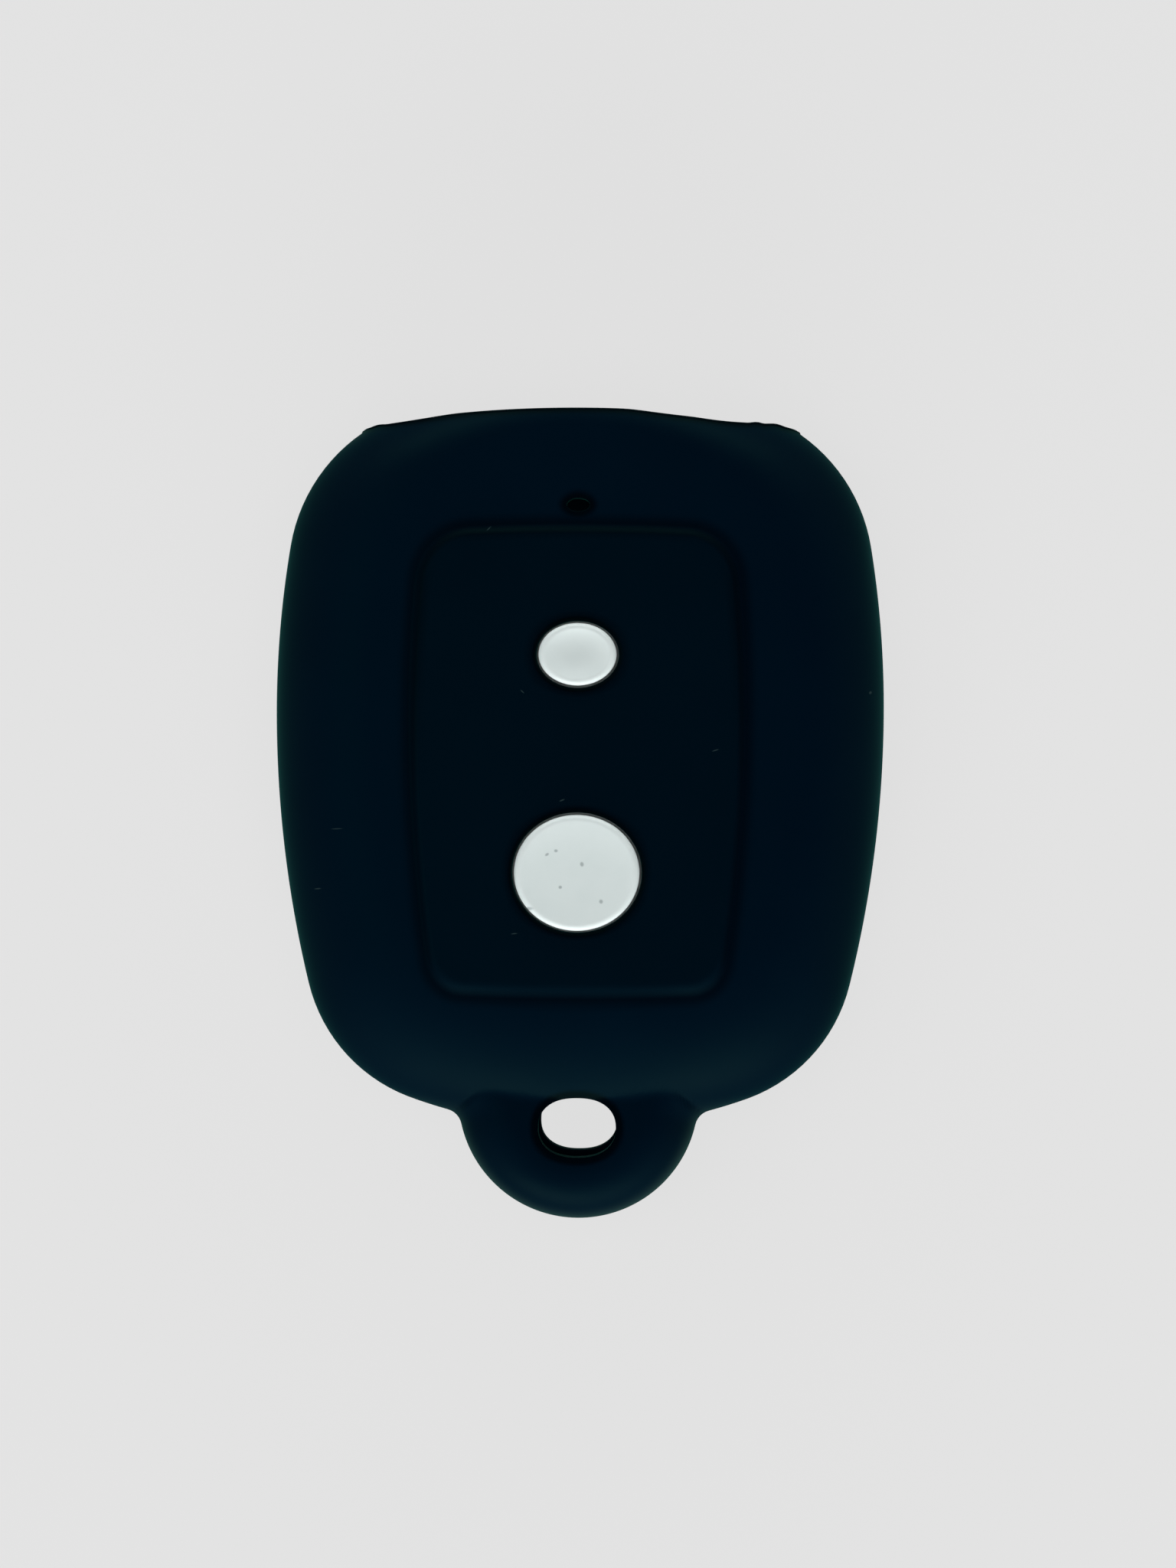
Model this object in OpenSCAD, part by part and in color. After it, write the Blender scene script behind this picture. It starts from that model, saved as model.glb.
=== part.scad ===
// Key fob cover: a moulded silicone sleeve with two pale button pads.
// The cover lies on its flat back, front face up, with its mouth towards +Y
// and its key ring tab towards -Y. The origin is under the middle of the whole.

/* [Body] */
// Overall width, at the parting line
body_w = 42; // [38:0.5:48]
// Length of the closed pebble form, before its mouth is cut
form_len = 52.2; // [48:0.2:60]
// Height of the front face at its middle
body_h = 15; // [13.5:0.1:18]
// Height of the widest line, where the halves of the mould met
parting_h = 6.8; // [6:0.1:7.6]
// Thickness of the silicone
wall = 1.6; // [1.3:0.1:1.9]
// How far the front face falls from its middle to its sides
crown_side = 1.0; // [0.4:0.1:1.6]
// How far the front face falls from its middle to its mouth
crown_up = 0.9; // [0.4:0.1:1.6]
// How far the front face falls from its middle to its tab
crown_down = 1.6; // [0.6:0.1:2.2]

/* [Edges] */
// Reach of the front's rounded edge along the sides
front_edge_side = 7; // [5:0.2:8.5]
// Reach of the front's rounded edge at the mouth
front_edge_up = 4.6; // [3.8:0.1:6]
// Reach of the front's rounded edge above the tab
front_edge_down = 12; // [9:0.2:13]
// Reach of the back's rounded edge along the sides
back_edge_side = 5; // [4:0.2:6.5]
// Reach of the back's rounded edge at both ends
back_edge_end = 4.6; // [3.8:0.1:6]

/* [Mouth] */
// How much of the closed form the mouth cuts off, at the middle
mouth_cut = 3; // [2.4:0.1:3.6]
// How far the lip bows out between its two corners
lip_bow = 1; // [0.5:0.05:1.4]

/* [Panel] */
// Widest width of the raised panel
panel_w = 22.3; // [19:0.1:25]
// Length of the raised panel
panel_len = 31; // [27:0.2:33]
// Distance from the lip to the panel
panel_from_lip = 8.3; // [7:0.1:10]
// How far the panel stands above the front face
panel_rise = 0.4; // [0.3:0.05:0.8]
// Reach of the panel's sloping edge
panel_edge = 0.8; // [0.4:0.05:1]

/* [Button pads] */
// Width of the small pad
small_pad_w = 5.25; // [4.2:0.05:6.2]
// Length of the small pad
small_pad_len = 4.2; // [3.4:0.05:5]
// Distance from the panel's upper end to the small pad's middle
small_pad_from_top = 8.4; // [7:0.1:9.5]
// Width of the large pad
large_pad_w = 8.45; // [7:0.05:9.6]
// Length of the large pad
large_pad_len = 7.8; // [6.4:0.05:8.8]
// Distance from the panel's lower end to the large pad's middle
large_pad_from_end = 7.9; // [7:0.1:9]
// How far a pad's rim stands above the panel
pad_proud = 0.35; // [0.2:0.05:0.6]
// Depth of the dish in a pad's face
dish_depth = 0.35; // [0.2:0.05:0.5]
// Radius of the round on a pad's rim
pad_rim_r = 0.4; // [0.25:0.05:0.5]
// Gap round a pad in its hole
pad_gap = 0.15; // [0.1:0.01:0.25]
// Thickness of silicone that holds a pad's flange down
pad_seat_wall = 1.3; // [1.1:0.05:1.5]
// How far the flange reaches out past the pad
flange_reach = 0.9; // [0.6:0.05:1.1]
// Thickness of the flange
flange_h = 0.7; // [0.5:0.05:0.9]
// Width of the nub that presses the fob's own button
nub_w = 3; // [2:0.1:3.2]
// Length of the nub below the flange
nub_h = 0.8; // [0.5:0.05:1.2]

/* [Tab] */
// Radius of the key ring tab
tab_r = 8.3; // [7.4:0.1:9.2]
// How far the tab reaches past the body
tab_reach = 6.25; // [5.6:0.05:7.5]
// Thickness of the tab
tab_h = 7; // [6:0.1:8]
// Radius of the round on the tab's edges
tab_edge = 2.8; // [1.8:0.1:3]
// Radius of the fillets where the tab leaves the body
tab_fillet = 1.3; // [0.8:0.1:2]
// Width of the key ring hole
ring_w = 5.4; // [5:0.05:6]
// Length of the key ring hole
ring_len = 4.4; // [4.2:0.05:4.8]
// Radius of the key ring hole's corners
ring_corner = 1.3; // [1:0.05:1.6]
// Radius of the round on the key ring hole's lips
ring_lip = 0.4; // [0.2:0.05:0.6]
// Distance from the tab's end to the middle of the ring hole
ring_from_end = 6.6; // [6.2:0.1:7.2]

/* [Light hole] */
// Width of the hole for the fob's light
light_w = 1.6; // [1.2:0.1:2]
// Length of the hole for the fob's light
light_len = 1.1; // [0.8:0.05:1.6]
// Distance from the panel to the middle of the light hole
light_from_panel = 1.7; // [1.5:0.1:2.2]
// Depth of the dimple round the light hole
light_dimple = 0.4; // [0.2:0.05:0.5]

/* [Hidden] */
silicone = [0.01, 0.06, 0.1];
pad_grey = [0.8, 0.84, 0.84];
// Every cut runs this far past what it cuts
overrun = 1;

// The outline is a chain of tangent arcs that starts at the widest place.
// Radii are shares of half the width, angles are those of the outward normal.
upper_side_share = 3.3;
upper_side_angle = 9.4;
shoulder_share = 0.56;
shoulder_angle = 61.7;
lower_side_share = 3.79;
lower_side_angle = 13.8;
haunch_share = 0.533;
haunch_angle = 70.2;
side_steps = 3;
corner_steps = 8;
end_steps = 4;

function arc_point(p, r, from, to) = p + r * [cos(to) - cos(from), sin(to) - sin(from)];
function arc(p, r, from, to, steps) = [
    for (i = [1:steps]) arc_point(p, r, from, from + (to - from) * i / steps)
];
function last(list) = list[len(list) - 1];
function reversed(list) = [for (i = [len(list) - 1:-1:0]) list[i]];

// From the widest place to the middle of one end: side arc, corner arc and the
// closing arc, whose centre lies on the middle line.
function half_chain(side_share, side_angle, corner_share, corner_angle) =
    let (
        side = arc([1, 0], side_share, 0, side_angle, side_steps),
        corner = arc(last(side), corner_share, side_angle, corner_angle, corner_steps),
        closing_share = last(corner).x / cos(corner_angle),
        quarter = sign(corner_angle) * 90
    )
    concat(side, corner, arc(last(corner), closing_share, corner_angle, quarter, end_steps));

upper_chain = half_chain(upper_side_share, upper_side_angle, shoulder_share, shoulder_angle);
lower_chain = half_chain(lower_side_share, -lower_side_angle, haunch_share, -haunch_angle);
right_chain = concat(reversed(lower_chain), [[1, 0]], upper_chain);
left_chain = [for (i = [len(right_chain) - 2:-1:1]) [-right_chain[i].x, right_chain[i].y]];
unit_outline = concat(right_chain, left_chain);
chain_up = last(upper_chain).y;
chain_down = -last(lower_chain).y;

// Sizes of the pebble, measured from its widest place
half_w = body_w / 2;
up_len = form_len * chain_up / (chain_up + chain_down);
down_len = form_len - up_len;
total_len = form_len - mouth_cut + tab_reach;
lip_y = total_len / 2;
waist_y = lip_y + mouth_cut - up_len;
form_end_y = waist_y - down_len;

// The face is a shallow dome that falls by one amount to each side
function face_drop(x, y) =
    crown_side * pow(x / half_w, 2)
    + (y > 0 ? crown_up * pow(y / up_len, 2) : crown_down * pow(y / down_len, 2));
function face_z(x, y) = body_h - face_drop(x, y - waist_y);

// The outline drawn in by one reach along the sides and another at each end
function drawn_in(side, up, down) = [
    for (p = unit_outline) [
        p.x * (half_w - side),
        p.y > 0 ? p.y / chain_up * (up_len - up) : p.y / chain_down * (down_len - down)
    ]
];

front_edge_steps = 7;
back_edge_steps = 5;
crown_steps = 4;

// Rings of the pebble from its back to its front, drawn in by a wall's thickness
function pebble_rings(inset) =
    let (
        front_side = front_edge_side - inset,
        front_up = front_edge_up - inset,
        front_down = front_edge_down - inset,
        back_side = back_edge_side - inset,
        back_end = back_edge_end - inset,
        face = drawn_in(inset + front_side, inset + front_up, inset + front_down)
    )
    [
        for (k = [back_edge_steps:-1:1])
            let (
                angle = 90 * k / back_edge_steps,
                pull = 1 - cos(angle),
                ends = inset + back_end * pull
            )
            [
                for (p = drawn_in(inset + back_side * pull, ends, ends))
                    [p.x, p.y, parting_h - (parting_h - inset) * sin(angle)]
            ],
        for (k = [0:front_edge_steps])
            let (
                angle = 90 * k / front_edge_steps,
                pull = 1 - cos(angle)
            )
            [
                for (p = drawn_in(
                    inset + front_side * pull,
                    inset + front_up * pull,
                    inset + front_down * pull
                ))
                    let (face_h = body_h - inset - face_drop(p.x, p.y))
                    [p.x, p.y, parting_h + (face_h - parting_h) * sin(angle)]
            ],
        for (k = [crown_steps - 1:-1:1])
            let (shrink = k / crown_steps)
            [
                for (p = face)
                    [p.x * shrink, p.y * shrink, body_h - inset - face_drop(p.x * shrink, p.y * shrink)]
            ]
    ];

// A closed skin over rings of points, with a point at each end
module skin(first, rings, end) {
    count = len(rings[0]);
    top = len(rings) - 1;
    points = concat([first], [for (ring = rings) each ring], [end]);
    end_at = len(points) - 1;
    sides = [
        for (k = [0:top - 1], i = [0:count - 1])
            let (
                a = 1 + k * count + i,
                b = 1 + k * count + (i + 1) % count
            )
            each [[a, a + count, b], [b, a + count, b + count]]
    ];
    polyhedron(
        points = points,
        faces = concat(
            [for (i = [0:count - 1]) [0, 1 + i, 1 + (i + 1) % count]],
            sides,
            [for (i = [0:count - 1]) [end_at, end_at - count + (i + 1) % count, end_at - count + i]]
        ),
        convexity = 6
    );
}

module pebble(inset) {
    translate([0, waist_y, 0])
        skin([0, 0, inset], pebble_rings(inset), [0, 0, body_h - inset]);
}

// The panel's own outline: bowed sides that draw in towards the tab, and
// rounded corners, tighter at the lower end. Radii are shares of half its width.
panel_upper_side_share = 8;
panel_upper_side_angle = 5.2;
panel_upper_corner_share = 0.33;
panel_lower_side_share = 9.5;
panel_lower_side_angle = 8.6;
panel_lower_corner_share = 0.22;
panel_end_angle = 87.5;
panel_corner_steps = 5;
panel_crown_steps = 4;

function panel_chain(side_share, side_angle, corner_share) =
    let (
        way = sign(side_angle),
        side = arc([1, 0], side_share, 0, side_angle, side_steps),
        corner = arc(last(side), corner_share, side_angle, way * panel_end_angle, panel_corner_steps),
        closing_share = last(corner).x / cos(panel_end_angle)
    )
    concat(
        side, corner,
        arc(last(corner), closing_share, way * panel_end_angle, way * 90, side_steps)
    );

panel_upper = panel_chain(panel_upper_side_share, panel_upper_side_angle, panel_upper_corner_share);
panel_lower = panel_chain(panel_lower_side_share, -panel_lower_side_angle, panel_lower_corner_share);
panel_right = concat(reversed(panel_lower), [[1, 0]], panel_upper);
panel_left = [for (i = [len(panel_right) - 2:-1:1]) [-panel_right[i].x, panel_right[i].y]];
panel_unit = concat(panel_right, panel_left);
panel_unit_up = last(panel_upper).y;
panel_unit_down = -last(panel_lower).y;
panel_top_y = lip_y - panel_from_lip;
panel_end_y = panel_top_y - panel_len;
panel_waist_y = panel_end_y + panel_len * panel_unit_down / (panel_unit_up + panel_unit_down);

// One ring of the panel, drawn in and shrunk, at a height above the face
function panel_ring(reach, shrink, rise) = [
    for (p = panel_unit)
        let (
            unit_len = panel_len / (panel_unit_up + panel_unit_down),
            x = p.x * (panel_w / 2 - reach) * shrink,
            y = panel_waist_y + p.y * (unit_len - 2 * reach / (panel_unit_up + panel_unit_down)) * shrink
        )
        [x, y, face_z(x, y) + rise]
];

module panel() {
    root = -wall / 2;
    skin(
        [0, panel_waist_y, face_z(0, panel_waist_y) + root],
        [
            panel_ring(0, 1, root),
            panel_ring(0, 1, 0),
            panel_ring(panel_edge / 2, 1, panel_rise * sin(60)),
            for (k = [panel_crown_steps:-1:1])
                panel_ring(panel_edge, k / panel_crown_steps, panel_rise)
        ],
        [0, panel_waist_y, face_z(0, panel_waist_y) + panel_rise]
    );
}

// The tab is a disc with rounded edges. Its fillets touch both the disc and the
// arc that closes the body's lower end.
tab_y = form_end_y - tab_reach + tab_r;
tab_low_z = parting_h - tab_h / 2;
tab_top_z = parting_h + tab_h / 2;
body_arc_r = half_w * lower_chain[side_steps + corner_steps - 1].x / cos(haunch_angle);
body_arc_rise = form_end_y + body_arc_r - tab_y;
fillet_far = tab_r + tab_fillet;
fillet_lean = acos(
    (pow(body_arc_rise, 2) + pow(fillet_far, 2) - pow(body_arc_r + tab_fillet, 2))
    / (2 * body_arc_rise * fillet_far)
);
fillet_at = fillet_far * [sin(fillet_lean), cos(fillet_lean)];
fillet_end_angle = atan2(body_arc_rise - fillet_at.y, -fillet_at.x);
tab_root = wall * 2;
disc_steps = 12;
fillet_steps = 3;
tab_edge_steps = 4;

tab_right = concat(
    [for (i = [0:disc_steps])
        let (angle = -90 + (180 - fillet_lean) * i / disc_steps)
        tab_r * [cos(angle), sin(angle)]
    ],
    [for (i = [1:fillet_steps])
        let (angle = 270 - fillet_lean + (fillet_end_angle - 270 + fillet_lean) * i / fillet_steps)
        fillet_at + tab_fillet * [cos(angle), sin(angle)]
    ],
    [[tab_r, tab_root]]
);
tab_outline = concat(
    tab_right,
    [for (i = [len(tab_right) - 1:-1:1]) [-tab_right[i].x, tab_right[i].y]]
);

function tab_ring(pull, z) =
    let (shrink = 1 - tab_edge * pull / tab_r)
    [for (p = tab_outline) [p.x * shrink, p.y * shrink, z]];

module tab() {
    translate([0, tab_y, 0])
        skin(
            [0, 0, tab_low_z],
            [
                for (k = [tab_edge_steps:-1:0])
                    let (angle = 90 * k / tab_edge_steps)
                    tab_ring(1 - cos(angle), tab_low_z + tab_edge * (1 - sin(angle))),
                for (k = [0:tab_edge_steps])
                    let (angle = 90 * k / tab_edge_steps)
                    tab_ring(1 - cos(angle), tab_top_z - tab_edge * (1 - sin(angle)))
            ],
            [0, 0, tab_top_z]
        );
}

// The space in the tab that takes the fob's own lug
module lug_pocket() {
    translate([0, tab_y, tab_low_z + wall])
        linear_extrude(height = tab_h - 2 * wall) {
            circle(r = tab_r - wall, $fn = 96);
            translate([wall - tab_r, 0]) square([2 * (tab_r - wall), tab_root]);
        }
}

ring_y = form_end_y - tab_reach + ring_from_end;
ring_corner_steps = 8;
ring_lip_steps = 3;

// The outline of the key ring hole, let out by a reach, at a height
function ring_outline(out, z) = [
    for (k = [0:3], i = [0:ring_corner_steps])
        let (
            angle = 90 * (k + i / ring_corner_steps),
            across = k == 0 || k == 3 ? 1 : -1,
            up = k < 2 ? 1 : -1
        )
        [
            across * (ring_w / 2 - ring_corner) + (ring_corner + out) * cos(angle),
            up * (ring_len / 2 - ring_corner) + (ring_corner + out) * sin(angle),
            z
        ]
];

// The key ring hole, which opens out over a rounded lip at both faces of the tab
module ring_hole() {
    translate([0, ring_y, 0])
        skin(
            [0, 0, tab_low_z - overrun],
            [
                ring_outline(ring_lip, tab_low_z - overrun),
                for (k = [ring_lip_steps:-1:0])
                    let (angle = 90 * k / ring_lip_steps)
                    ring_outline(ring_lip * (1 - cos(angle)), tab_low_z + ring_lip * (1 - sin(angle))),
                for (k = [0:ring_lip_steps])
                    let (angle = 90 * k / ring_lip_steps)
                    ring_outline(ring_lip * (1 - cos(angle)), tab_top_z - ring_lip * (1 - sin(angle))),
                ring_outline(ring_lip, tab_top_z + overrun)
            ],
            [0, 0, tab_top_z + overrun]
        );
}

// The mouth: an oval way in through the end, one wall inside the lip's own shape
ear_x = half_w * lookup(
    (lip_y - lip_bow - waist_y) / up_len * chain_up,
    [for (p = upper_chain) [p.y, p.x]]
);
lip_r = (pow(ear_x, 2) + pow(lip_bow, 2)) / (2 * lip_bow);
function edge_share(reach) = mouth_cut < reach ? sqrt(1 - pow(1 - mouth_cut / reach, 2)) : 1;
lip_face_z = parting_h + (face_z(0, lip_y) - parting_h) * edge_share(front_edge_up);
lip_back_z = parting_h - parting_h * edge_share(back_edge_end);
mouth_half_w = ear_x - wall;
mouth_half_h = (lip_face_z - lip_back_z) / 2 - wall;
mouth_z = (lip_face_z + lip_back_z) / 2;
mouth_depth = up_len / 3;

module mouth() {
    translate([0, lip_y + overrun, mouth_z])
        scale([1, 1, mouth_half_h / mouth_half_w])
            rotate([90, 0, 0]) cylinder(r = mouth_half_w, h = mouth_depth, $fn = 96);
}

// Everything beyond the lip is cut by one upright round surface
module inside_lip() {
    translate([0, lip_y - lip_r, -overrun])
        cylinder(r = lip_r, h = body_h + panel_rise + 2 * overrun, $fn = 720);
}

// Heights at a pad: the panel's face there, the flange's seat and the flange's foot
function panel_z(y) = face_z(0, y) + panel_rise;
function seat_z(y) = panel_z(y) - pad_seat_wall;
function flange_foot_z(y) = seat_z(y) - pad_gap - flange_h;

small_pad_y = panel_top_y - small_pad_from_top;
large_pad_y = panel_end_y + large_pad_from_end;

// The hole for a pad, with a bevelled lip and a seat for the flange below
module pad_hole(w, len, y) {
    r = w / 2 + pad_gap;
    bevel = pad_gap * 2;
    seat_r = w / 2 + flange_reach + pad_gap;
    translate([0, y, 0])
        scale([1, (len + 2 * pad_gap) / (w + 2 * pad_gap), 1]) {
            translate([0, 0, seat_z(y) - overrun])
                cylinder(r = r, h = pad_seat_wall + 2 * overrun, $fn = 96);
            translate([0, 0, panel_z(y) - bevel])
                cylinder(r1 = r, r2 = r + bevel + overrun, h = bevel + overrun, $fn = 96);
            translate([0, 0, seat_z(y) - wall]) cylinder(r = seat_r, h = wall, $fn = 96);
        }
}

rim_steps = 6;
dish_steps = 5;
pad_steps = 60;

// Half of a pad's section, from the nub up over the flange and rim into the dish
function pad_profile(r, crest, foot) =
    let (
        dish_half = r - pad_rim_r,
        dish_r = (pow(dish_half, 2) + pow(dish_depth, 2)) / (2 * dish_depth),
        dish_angle = asin(dish_half / dish_r)
    )
    concat(
        [
            [nub_w / 2, foot - nub_h],
            [nub_w / 2, foot],
            [r + flange_reach, foot],
            [r + flange_reach, foot + flange_h],
            [r, foot + flange_h]
        ],
        [for (i = [0:rim_steps])
            let (angle = 90 * i / rim_steps)
            [dish_half, crest - pad_rim_r] + pad_rim_r * [cos(angle), sin(angle)]
        ],
        [for (i = [dish_steps - 1:-1:1])
            let (angle = dish_angle * i / dish_steps)
            [dish_r * sin(angle), crest - dish_depth + dish_r * (1 - cos(angle))]
        ]
    );

// A pad is its section swept round an ellipse
module button_pad(w, len, y) {
    crest = panel_z(y) + pad_proud;
    foot = flange_foot_z(y);
    rings = [
        for (p = pad_profile(w / 2, crest, foot)) [
            for (i = [0:pad_steps - 1])
                let (angle = 360 * i / pad_steps)
                [p.x * cos(angle), p.x * sin(angle) * len / w, p.y]
        ]
    ];
    color(pad_grey)
        translate([0, y, 0])
            skin([0, 0, foot - nub_h], rings, [0, 0, crest - dish_depth]);
}

// The hole that lets the fob's own light show, in a shallow dimple
module light_hole() {
    y = panel_top_y + light_from_panel;
    top = face_z(0, y);
    translate([0, y, 0]) scale([1, light_len / light_w, 1]) {
        translate([0, 0, top - wall - overrun]) cylinder(d = light_w, h = wall + 2 * overrun, $fn = 48);
        translate([0, 0, top - light_dimple])
            cylinder(
                d1 = light_w,
                d2 = light_w + 2 * (light_dimple + overrun),
                h = light_dimple + overrun,
                $fn = 48
            );
    }
}

module sleeve() {
    color(silicone)
        difference() {
            intersection() {
                union() {
                    pebble(0);
                    panel();
                    tab();
                }
                inside_lip();
            }
            pebble(wall);
            mouth();
            lug_pocket();
            ring_hole();
            pad_hole(small_pad_w, small_pad_len, small_pad_y);
            pad_hole(large_pad_w, large_pad_len, large_pad_y);
            light_hole();
        }
}

module small_button_pad() {
    button_pad(small_pad_w, small_pad_len, small_pad_y);
}

module large_button_pad() {
    button_pad(large_pad_w, large_pad_len, large_pad_y);
}

sleeve();
small_button_pad();
large_button_pad();
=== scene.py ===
"""The looks of a moulded silicone cover for a two-button key fob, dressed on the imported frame."""
import math

import bmesh
import bpy
import numpy as np
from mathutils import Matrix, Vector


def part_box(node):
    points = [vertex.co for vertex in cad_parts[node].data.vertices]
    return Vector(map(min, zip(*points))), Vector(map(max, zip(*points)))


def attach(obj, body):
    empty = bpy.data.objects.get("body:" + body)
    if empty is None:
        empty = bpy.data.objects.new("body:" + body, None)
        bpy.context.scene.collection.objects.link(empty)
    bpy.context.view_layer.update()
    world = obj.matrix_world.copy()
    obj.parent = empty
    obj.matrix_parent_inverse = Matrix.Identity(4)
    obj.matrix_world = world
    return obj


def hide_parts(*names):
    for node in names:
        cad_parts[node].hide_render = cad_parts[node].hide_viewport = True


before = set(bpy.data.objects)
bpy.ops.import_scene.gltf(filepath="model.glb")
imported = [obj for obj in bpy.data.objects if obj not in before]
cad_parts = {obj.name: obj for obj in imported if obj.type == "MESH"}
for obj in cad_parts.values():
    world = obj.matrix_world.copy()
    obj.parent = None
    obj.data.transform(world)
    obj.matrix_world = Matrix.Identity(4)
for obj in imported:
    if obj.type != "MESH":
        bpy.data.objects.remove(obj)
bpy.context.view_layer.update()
mm = 0.001

# Camera
# It looks down on the cover's face from about 300 mm, a little from the right
# and turned by a quarter of a degree, with the tab towards the bottom.
camera_data = bpy.data.cameras.new("camera")
camera_data.sensor_width = 36
camera_data.lens = 99.7


def set_out(name, data):
    """A new object that holds the data, linked to the scene."""
    thing = bpy.data.objects.new(name, data)
    bpy.context.scene.collection.objects.link(thing)
    return thing


camera = set_out("camera", camera_data)
camera.location = (6.34 * mm, 2.78 * mm, 307.1 * mm)
camera.rotation_euler = (-0.00156, 0.01918, 0.00398)
bpy.context.scene.camera = camera

# Sleeve
# The one-piece cover: dark silicone, moulded round a core that leaves through
# the mouth. Its skin is one closed surface: a front and a back, a seam ridge
# between them, a rolled lip, and the cavity's ceiling and floor.
sleeve_low, sleeve_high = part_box("sleeve")
half_w = sleeve_high.x
lip_y = sleeve_high.y
tip_y = sleeve_low.y
parting_z = 6.8 * mm
face_top_z = 15 * mm
wall = 1.6 * mm
mouth_cut = 3 * mm
tab_reach = 6.25 * mm
form_len = lip_y - tip_y + mouth_cut - tab_reach
seam_rise = 0.04 * mm
seam_half = 0.07 * mm

# Outline shares: side radius, side angle, corner radius and corner angle, with
# radii in half widths and angles in degrees
body_upper = (3.3, 9.4, 0.56, 61.7)
body_lower = (3.79, 13.8, 0.533, 70.2)
panel_upper = (8, 5.2, 0.33, 87.5)
panel_lower = (9.5, 8.6, 0.22, 87.5)


def chain(phi, upper, lower):
    """The right half of a closed outline, at each angle phi of its outward normal.

    It is a chain of tangent arcs from (1, 0): a side arc centred on the X axis, a corner arc of
    its own radius from the side angle on, and a closing arc centred on the Y axis from the
    corner angle on. The half below the X axis is the same chain, turned over, with its own shares.
    """
    side_r, side_angle, corner_r, corner_angle = (
        np.where(phi < 0, below, above) for above, below in zip(upper, lower)
    )
    side_angle, corner_angle = np.radians(side_angle), np.radians(corner_angle)
    corner_x = 1 - side_r + (side_r - corner_r) * np.cos(side_angle)
    corner_y = (side_r - corner_r) * np.sin(side_angle)
    closing_r = (corner_x + corner_r * np.cos(corner_angle)) / np.cos(corner_angle)
    closing_y = corner_y + (corner_r - closing_r) * np.sin(corner_angle)
    lean = np.abs(phi)
    arcs = [lean <= side_angle, lean <= corner_angle]
    radius = np.select(arcs, [side_r, corner_r], closing_r)
    x = np.select(arcs, [1 - side_r, corner_x], 0) + radius * np.cos(lean)
    y = np.select(arcs, [0 * phi, corner_y], closing_y) + radius * np.sin(lean)
    return x, np.sign(phi) * y


right_angle = math.pi / 2
ends = np.array([-right_angle, right_angle])
body_down, body_up = np.abs(chain(ends, body_upper, body_lower)[1])
up_len = form_len * body_up / (body_up + body_down)
down_len = form_len * body_down / (body_up + body_down)
waist_y = lip_y + mouth_cut - up_len

# Reach of the rounded edges along the sides, at the mouth and at the tab
front_edge = (7 * mm, 4.3 * mm, 10.4 * mm)
back_edge = (5 * mm, 4.6 * mm, 4.6 * mm)
crown_side = 1 * mm
crown_up = 0.9 * mm
crown_down = 1.2 * mm


def body_outline(phi, inset):
    """The pebble's right outline, scaled to its real size and drawn in by one inset all round."""
    x, y = chain(phi, body_upper, body_lower)
    up = y / body_up * (up_len - inset)
    down = y / body_down * (down_len - inset)
    return x * (half_w - inset), waist_y + np.where(y > 0, up, down)


# The unit outline as a dense line, and how often the search for a ring of the
# edge is halved
dense_count = 12001
halvings = 34
dense_phi = np.linspace(-right_angle, right_angle, dense_count)
unit_x, unit_y = chain(dense_phi, body_upper, body_lower)
unit_angle, unit_radius = np.arctan2(unit_y, unit_x), np.hypot(unit_x, unit_y)


def roundness(x, y, inset, edge):
    """How far the rounded edge has risen at a point: 0 on the outline and 1 on the face.

    The rings of the edge are the outline drawn in by a pull from 0 to 1 of the edge's reach.
    The pull whose ring passes through the point is found by halving, and the edge's section
    is a quarter ellipse, so the rise is the root of 1 - (1 - pull) squared.
    """
    side, up, down = edge
    above = y > waist_y
    length = np.where(above, up_len, down_len) - inset
    reach = np.where(above, up, down) - inset
    unit = np.where(above, body_up, body_down)
    low, high = np.zeros_like(x), np.ones_like(x)
    for _ in range(halvings):
        pull = (low + high) / 2
        u = np.abs(x) / (half_w - inset - (side - inset) * pull)
        v = (y - waist_y) * unit / (length - reach * pull)
        inside = np.hypot(u, v) < np.interp(np.arctan2(v, u), unit_angle, unit_radius)
        low, high = np.where(inside, pull, low), np.where(inside, high, pull)
    return np.sqrt(1 - (1 - high) ** 2)


def face_height(x, y):
    """The front face: a shallow dome that falls with the square of the way to each side."""
    along = (y - waist_y) / np.where(y > waist_y, up_len, down_len)
    drop = np.where(y > waist_y, crown_up, crown_down) * along**2
    return face_top_z - crown_side * (x / half_w) ** 2 - drop


def eased(share):
    """A share kept between 0 and 1, eased at both ends: 3 of its square less 2 of its cube."""
    share = np.clip(share, 0, 1)
    return share**2 * (3 - 2 * share)


# The tab is a flat disc with rounded edges, and a fillet that touches both the
# disc and the arc that closes the body joins its sides to the body. It stands
# higher in front of the parting line than behind it.
tab_r = 8.3 * mm
tab_front_h = 4.5 * mm
tab_back_h = 3.5 * mm
tab_edge = 3.7 * mm
tab_fillet = 1.3 * mm
fan_kept = 0.5
pocket_edge = 0.4 * mm
crease_r = 0.15 * mm
least_r = 1e-6 * mm
tab_middle = np.array([0, tip_y + tab_r])
form_end_y = tip_y + tab_reach
side_r, side_angle, corner_r, corner_angle = body_lower
closing_x = 1 - side_r + (side_r - corner_r) * math.cos(math.radians(side_angle))
closing_r = half_w * (closing_x / math.cos(math.radians(corner_angle)) + corner_r)
closing_middle = np.array([0, form_end_y + closing_r])
closing_rise = closing_middle[1] - tab_middle[1]
fillet_far = tab_r + tab_fillet
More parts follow.
